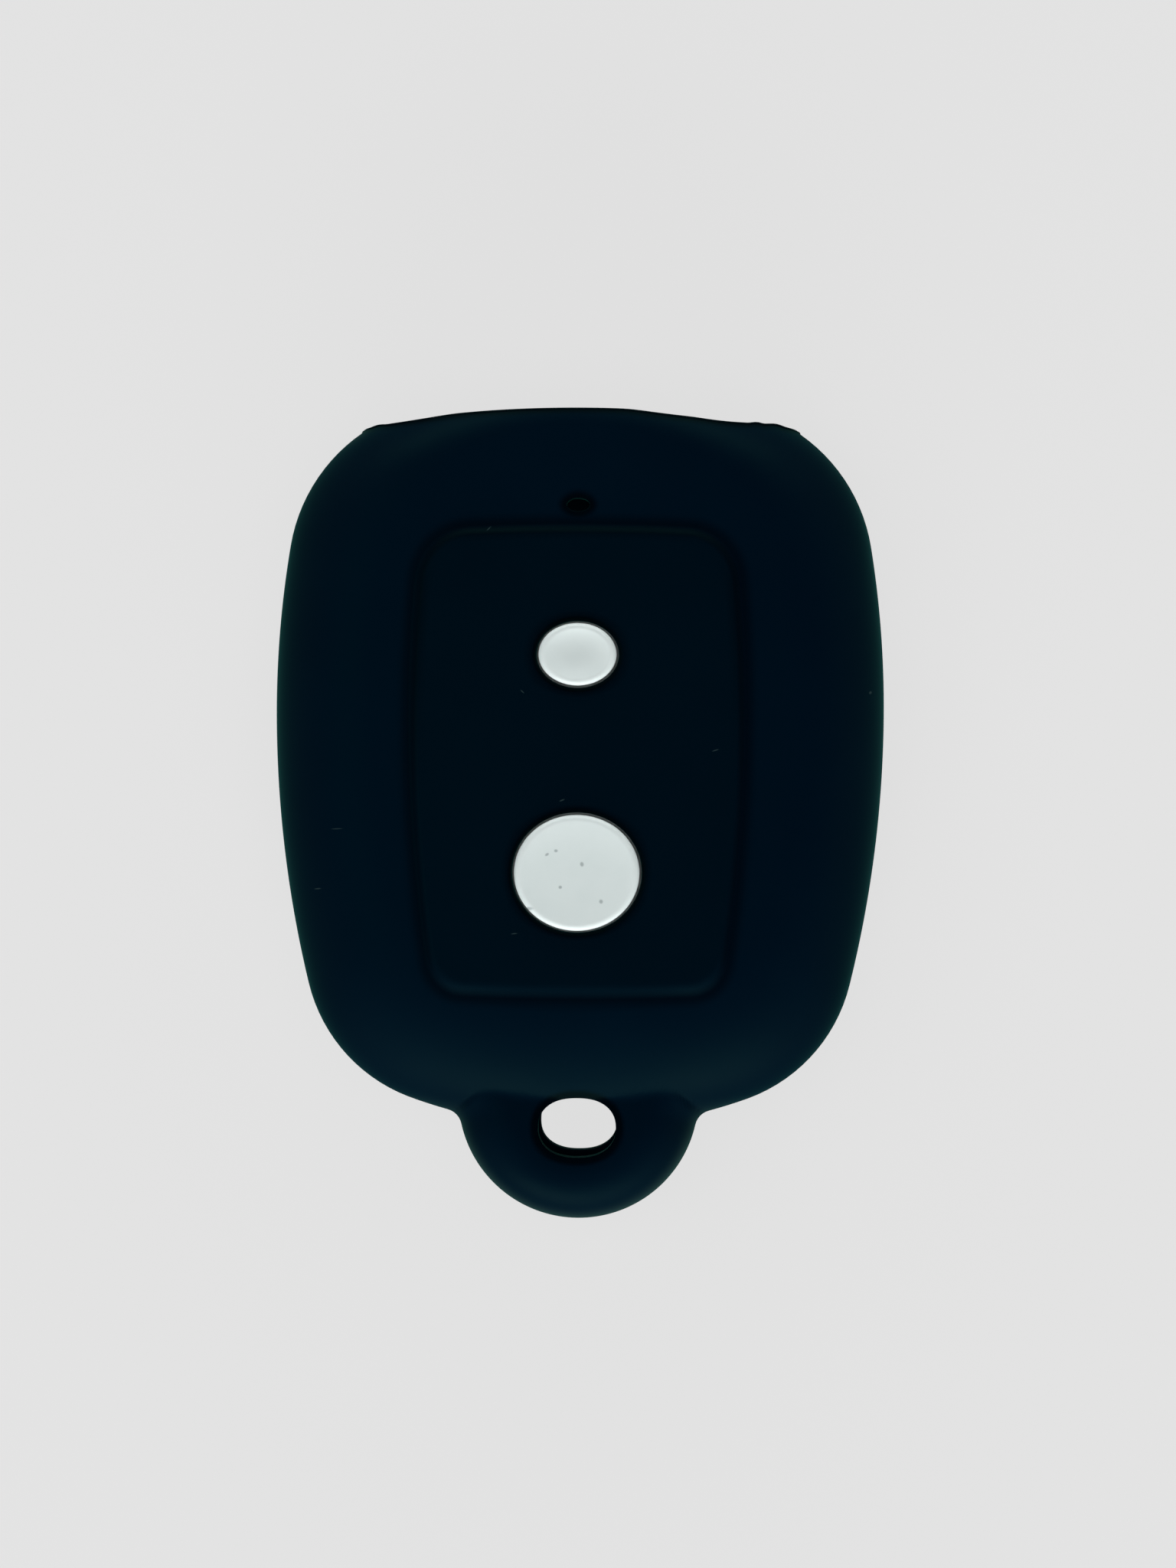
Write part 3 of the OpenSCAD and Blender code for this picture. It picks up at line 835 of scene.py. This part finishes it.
for name, mark in (("panel", panel_mark), ("painted_shade", painted_shade_mark), ("painted_highlight", highlight_mark)):
    layer = sleeve_skin.data.attributes.new(name, "FLOAT", "POINT")
    layer.data.foreach_set("value", mark.astype(np.float32))


def shader_group(name, inputs, outputs):
    """An empty node group with the named sockets, and its two end nodes."""
    group = bpy.data.node_groups.new(name, "ShaderNodeTree")
    for title, kind, value in inputs:
        socket = group.interface.new_socket(title, in_out="INPUT", socket_type="NodeSocket" + kind)
        socket.default_value = value
    for title, kind in outputs:
        group.interface.new_socket(title, in_out="OUTPUT", socket_type="NodeSocket" + kind)
    return group, group.nodes.new("NodeGroupInput"), group.nodes.new("NodeGroupOutput")


def plugged(tree, made, **sockets):
    """A node whose input sockets are set to a value or linked to an output.

    A socket is named by its title, with _ for a space, or by _ and its number.
    """
    for title, value in sockets.items():
        socket = made.inputs[int(title[1:]) if title[1:].isdigit() else title.replace("_", " ")]
        if isinstance(value, bpy.types.NodeSocket):
            tree.links.new(value, socket)
        else:
            socket.default_value = value
    return made


def node(tree, kind, settings=None, **sockets):
    """A new node, with its settings made and its input sockets plugged."""
    made = tree.nodes.new("ShaderNode" + kind)
    for name, value in (settings or {}).items():
        setattr(made, name, value)
    return plugged(tree, made, **sockets)


def mixed(tree, share, base, over, blend="MIX"):
    """A colour that goes from base to over, or from base to their product, as the share goes up."""
    made = node(tree, "Mix", {"data_type": "RGBA", "blend_type": blend}, _0=share, _6=base, _7=over)
    return made.outputs[2]


def new_finish(name):
    """A new material, its node tree and its shader."""
    finish = bpy.data.materials.new(name)
    finish.use_nodes = True
    return finish, finish.node_tree, finish.node_tree.nodes["Principled BSDF"]


# Moulded grain: fine and coarse unevenness that a mould leaves in silicone
grain, grain_in, grain_out = shader_group(
    "moulded_grain",
    [("Grain size", "Float", 0.0003), ("Cloud size", "Float", 0.01)],
    [("Grain", "Float"), ("Cloud", "Float")],
)
where = node(grain, "TexCoord").outputs["Object"]
for title, detail in (("Grain", 4), ("Cloud", 3)):
    scale = node(grain, "Math", {"operation": "DIVIDE"}, _0=1.0, _1=grain_in.outputs[title + " size"])
    noise = node(grain, "TexNoise", Vector=where, Scale=scale.outputs[0], Detail=float(detail))
    grain.links.new(noise.outputs["Fac"], grain_out.inputs[title])

# Speck: a small soft-edged spot at one place on the surface, for dust, lint, dirt
# or a painted lit patch, which is full within its core, a share of its half size
speck_core_share = 0.35
speck, speck_in, speck_out = shader_group(
    "speck",
    [("Place", "Vector", (0, 0, 0)), ("Half size", "Vector", (0.0004, 0.0001, 0.0006)), ("Turn", "Float", 0)],
    [("Mask", "Float")],
)
away = node(
    speck, "VectorMath", {"operation": "SUBTRACT"}, _0=node(speck, "TexCoord").outputs["Object"],
    _1=speck_in.outputs["Place"],
)
turned = node(
    speck, "VectorRotate", {"rotation_type": "Z_AXIS", "invert": True}, Vector=away.outputs[0],
    Angle=speck_in.outputs["Turn"],
)
spread = node(
    speck, "VectorMath", {"operation": "DIVIDE"}, _0=turned.outputs[0], _1=speck_in.outputs["Half size"]
)
reach = node(speck, "VectorMath", {"operation": "LENGTH"}, _0=spread.outputs[0])
soft = node(
    speck, "MapRange", {"interpolation_type": "SMOOTHSTEP"}, Value=reach.outputs["Value"], From_Min=1.0,
    From_Max=speck_core_share,
)
speck.links.new(soft.outputs["Result"], speck_out.inputs["Mask"])


def specks(tree, places):
    """The masks of several specks, added together. Each has a place, a half size and a turn."""
    total = 0.0
    for place, half_size, turn in places:
        spot = node(tree, "Group", {"node_tree": speck}, Place=place, Half_size=half_size, Turn=turn)
        added = node(tree, "Math", {"operation": "ADD", "use_clamp": True}, _0=spot.outputs[0], _1=total)
        total = added.outputs[0]
    return total


# Colours are linear red, green and blue. The tints multiply the silicone's colour
# on the rubbed panel and, as painted shade, in the hollows. One grey covers it with a
# painted highlight on the tab's rim and the lip's corner; the other covers it with
# dust and lint, and with painted light on the key ring hole's lower wall. Its
# cloud's range sets where it goes from one blue to the other.
deep_blue = (0.0001, 0.0041, 0.0111, 1)
clouded_blue = (0.0001, 0.0046, 0.0122, 1)
rubbed_tint = (1, 0.88, 0.8, 1)
painted_shade_tint = (0.3, 0.15, 0.25, 1)
highlight_grey = (0.014, 0.027, 0.028, 1)
dust_and_light_grey = (0.02, 0.035, 0.04, 1)
cloud_range = {"From_Min": 0.3, "From_Max": 0.7}
smoothest, roughest = 0.46, 0.56
grain_depth = 0.01 * mm

# Lint: x, y, half length and half width in mm, and turn. One more speck is painted
# light: a pale lit patch on the lower wall of the key ring hole.
lint = (
    (-16.3, -0.8, 0.62, 0.04, 0.05),
    (-17.7, -4.9, 0.45, 0.05, 0.1),
    (19.9, 8.6, 0.16, 0.12, 0.6),
    (9.3, 4.6, 0.3, 0.05, 0.3),
    (-6.0, 19.5, 0.3, 0.05, 0.8),
    (-3.7, 8.5, 0.22, 0.05, 2.4),
    (-1.0, 1.2, 0.25, 0.06, 0.4),
    (-4.2, -7.8, 0.28, 0.05, 0.1),
)
lint_depth = 0.5 * mm
lint_and_light_places = []
for x, y, half_long, half_wide, turn in lint:
    surface = panel_height if abs(x) * mm < panel_half else front_height
    height = float(surface(np.array([x * mm]), np.array([y * mm]))[0])
    lint_and_light_places.append(((x * mm, y * mm, height), (half_long * mm, half_wide * mm, lint_depth), turn))
# Painted light: a pale patch on the key ring hole's lower wall, where it is lit
ring_wall_light_place = (0.07 * mm, ring_middle[1] - 1.95 * mm, 8.6 * mm)
ring_wall_light_half = (1.5 * mm, 0.19 * mm, 3.5 * mm)
lint_and_light_places.append((ring_wall_light_place, ring_wall_light_half, 0))

silicone, tree, skin = new_finish("dark_silicone")
uneven = node(tree, "Group", {"node_tree": grain}, Grain_size=0.12 * mm, Cloud_size=9 * mm)
cloud = uneven.outputs["Cloud"]
on_panel, in_painted_shade, where_highlighted = (
    node(tree, "Attribute", {"attribute_name": mark}).outputs["Fac"] for mark in ("panel", "painted_shade", "painted_highlight")
)
shade = node(tree, "MapRange", Value=cloud, **cloud_range)
colour = mixed(tree, shade.outputs["Result"], deep_blue, clouded_blue)
colour = mixed(tree, on_panel, colour, rubbed_tint, "MULTIPLY")
# Painted shade: darker in the crease at the panel's foot, round the holes and under the lip
colour = mixed(tree, in_painted_shade, colour, painted_shade_tint, "MULTIPLY")
# Painted highlight: paler on the tab's lower rim and at the lip's left corner
colour = mixed(tree, where_highlighted, colour, highlight_grey)
# Dust and lint, and a painted lit patch on the key ring hole's lower wall
colour = mixed(tree, specks(tree, lint_and_light_places), colour, dust_and_light_grey)
dull = node(tree, "MapRange", Value=cloud, To_Min=smoothest, To_Max=roughest, **cloud_range)
bump = node(tree, "Bump", Strength=0.2, Distance=grain_depth, Height=uneven.outputs["Grain"])
plugged(
    tree, skin, Base_Color=colour, Roughness=dull.outputs["Result"], Normal=bump.outputs["Normal"],
    Specular_IOR_Level=0.029, Specular_Tint=(0.02, 1, 0.65, 1), Sheen_Weight=0.058,
    Sheen_Roughness=0.35, Sheen_Tint=(0.13, 1, 0.8, 1),
)
sleeve_skin.data.materials.append(silicone)

# Button pads
# Two pale silicone pads with dished faces. Each goes through its hole in the
# panel from the inside, and its flange keeps it in.
pad_proud = 0.35 * mm
dish_depth = 0.35 * mm
pad_rim_r = 0.4 * mm
flange_h = 0.7 * mm
flange_round = 0.15 * mm
nub_half_w = 1.5 * mm
nub_h = 0.8 * mm
pad_columns = 192
round_rows, rim_rows, dish_rows = 5, 14, 26


def rounded(corners):
    """A line through corner points, with an arc of its own radius at each corner between the ends.

    The arc's middle lies on the line that halves the corner, at the radius over the sine of
    half the corner's angle, and the arc touches both sides.
    """
    places, radii = np.array(corners)[:, :2], np.array(corners)[1:, 2]
    line = [places[:1]]
    for before, at, after, radius in zip(places, places[1:], places[2:], radii):
        one, two = (before - at) / np.hypot(*(before - at)), (after - at) / np.hypot(*(after - at))
        half = math.acos(np.clip(one @ two, -1, 1)) / 2
        middle = at + (one + two) / np.hypot(*(one + two)) * radius / math.sin(half)
        start = at + one * radius / math.tan(half) - middle
        end = at + two * radius / math.tan(half) - middle
        turn = math.atan2(start[0] * end[1] - start[1] * end[0], start @ end)
        start_angle = math.atan2(start[1], start[0])
        line.append(arc(middle, radius, start_angle, start_angle + turn, round_rows))
    return np.concatenate([*line, places[-1:]])


def pad_section(half, crest):
    """Half of a pad's section, from the nub's middle out round the flange and in over the rim.

    The rim's round and the dish are arcs that touch: their middles lie the sum of their radii apart.
    """
    foot = crest - pad_proud - pad_seat_wall - pad_gap - flange_h
    rim_x = half - pad_rim_r
    both = (rim_x**2 + dish_depth**2) / (2 * dish_depth)
    dish_r = both - pad_rim_r
    lean = math.asin(rim_x / both)
    under = rounded([
        (0, foot - nub_h, 0), (nub_half_w, foot - nub_h, 2 * flange_round), (nub_half_w, foot, flange_round),
        (half + flange_reach, foot, flange_round), (half + flange_reach, foot + flange_h, flange_round),
        (half, foot + flange_h, flange_round), (half, crest - pad_rim_r, 0),
    ])
    rim = arc((rim_x, crest - pad_rim_r), pad_rim_r, 0, right_angle + lean, rim_rows)
    dish_middle = (0, crest - dish_depth + dish_r)
    dish = arc(dish_middle, dish_r, lean - right_angle, -right_angle, dish_rows)
    return np.concatenate([under[:-1], rim[:-1], dish])


pads = []
turns = np.linspace(0, 2 * math.pi, pad_columns, endpoint=False)
for name, body, cad_pad, middle, half_wide, half_long in (
    ("small_pad_face", "small_button", "small_button_pad", small_middle, small_half_w, small_half_len),
    ("large_pad_face", "large_button", "large_button_pad", large_middle, large_half_w, large_half_len),
):
    section = pad_section(half_wide, panel_height(middle[0], middle[1]) + pad_proud)
    out, high = section[:, :1], section[:, 1:]
    swept = np.stack([
        out * np.cos(turns), middle[1] + out * np.sin(turns) * half_long / half_wide, high + 0 * turns
    ], -1)
    pads.append(piece_from(name, [(closed(swept), None)], body, cad_pad))

pale_low = (0.77, 0.865, 0.855, 1)
pale_high = (0.85, 0.935, 0.925, 1)
dirt_grey = (0.46, 0.53, 0.53, 1)

# Dirt on the large pad: x, y, half length and half width in mm, and turn
dirt = (
    (-1.4, -2.2, 0.17, 0.14, 0),
    (-2.0, -2.45, 0.2, 0.12, 0.6),
    (0.35, -3.1, 0.17, 0.22, 0.2),
    (-1.1, -4.65, 0.16, 0.15, 0),
    (1.65, -5.6, 0.18, 0.2, 0.3),
    (-3.3, -6.1, 0.6, 0.18, 0.05),
)
dirt_depth = 1.2 * mm
dirt_places = [
    ((x * mm, y * mm, face_top_z), (a * mm, b * mm, dirt_depth), turn) for x, y, a, b, turn in dirt
]
pale, tree, skin = new_finish("pale_silicone")
uneven = node(tree, "Group", {"node_tree": grain}, Grain_size=0.1 * mm, Cloud_size=2.5 * mm)
colour = mixed(tree, uneven.outputs["Cloud"], pale_low, pale_high)
colour = mixed(tree, specks(tree, dirt_places), colour, dirt_grey)
bump = node(tree, "Bump", Strength=0.25, Distance=grain_depth, Height=uneven.outputs["Grain"])
plugged(
    tree, skin, Base_Color=colour, Normal=bump.outputs["Normal"], Roughness=0.42, Specular_IOR_Level=0.35
)
for pad in pads:
    pad.data.materials.append(pale)

# Floor and light
# A floor of paper that shines by itself keeps the shadow faint. Soft lights stand
# out of view: low ones past both ends and at the right, one halfway up at the left
# and one overhead. The strongest is past the tab.
floor_half = 2.0
floor_drop = 0.01 * mm
floor_mesh = bpy.data.meshes.new("floor")
floor_mesh.from_pydata(
    [(x * floor_half, y * floor_half, -floor_drop) for x, y in ((-1, -1), (1, -1), (1, 1), (-1, 1))],
    [], [(0, 1, 2, 3)],
)
stage_floor = set_out("stage_floor", floor_mesh)
stage_floor.visible_glossy = False
paper, tree, sheet = new_finish("paper")
plugged(
    tree, sheet, Base_Color=(0.1, 0.1, 0.1, 1), Roughness=1, Specular_IOR_Level=0,
    Emission_Color=(1, 1, 1, 1), Emission_Strength=0.69,
)
floor_mesh.materials.append(paper)

# Each light's way round and height in degrees, its width and height in metres, its
# brightness and whether the gloss mirrors it
softboxes = (
    ("light_low", -90, 9, 0.90, 0.17, 7.2, True),
    ("light_low_fill", -90, 27, 0.60, 0.16, 4.2, False),
    ("light_mouth_end", 90, 14, 0.90, 0.17, 6.3, True),
    ("light_top", -90, 88, 0.50, 0.40, 1.75, False),
    ("light_left", 180, 50, 0.40, 0.30, 1.4, True),
    ("light_right_low", 0, 9, 0.60, 0.17, 1.5, False),
)
light_distance = 0.6
for name, azimuth, elevation, wide, high, radiance, mirrored in softboxes:
    lamp = bpy.data.lights.new(name, "AREA")
    lamp.shape = "RECTANGLE"
    lamp.size, lamp.size_y = wide, high
    lamp.energy = radiance * math.pi * wide * high
    box = set_out(name, lamp)
    turn, rise = math.radians(azimuth), math.radians(elevation)
    box.location = (
        light_distance * math.cos(rise) * math.cos(turn), light_distance * math.cos(rise) * math.sin(turn),
        light_distance * math.sin(rise),
    )
    box.rotation_euler = (right_angle - rise, 0, turn + right_angle)
    box.visible_camera = False
    box.visible_glossy = mirrored

world = bpy.data.worlds.new("studio")
bpy.context.scene.world = world
world.use_nodes = True
plugged(world.node_tree, world.node_tree.nodes["Background"], Color=(1, 1, 1, 1), Strength=0.01)
bpy.context.scene.view_settings.view_transform = "Standard"
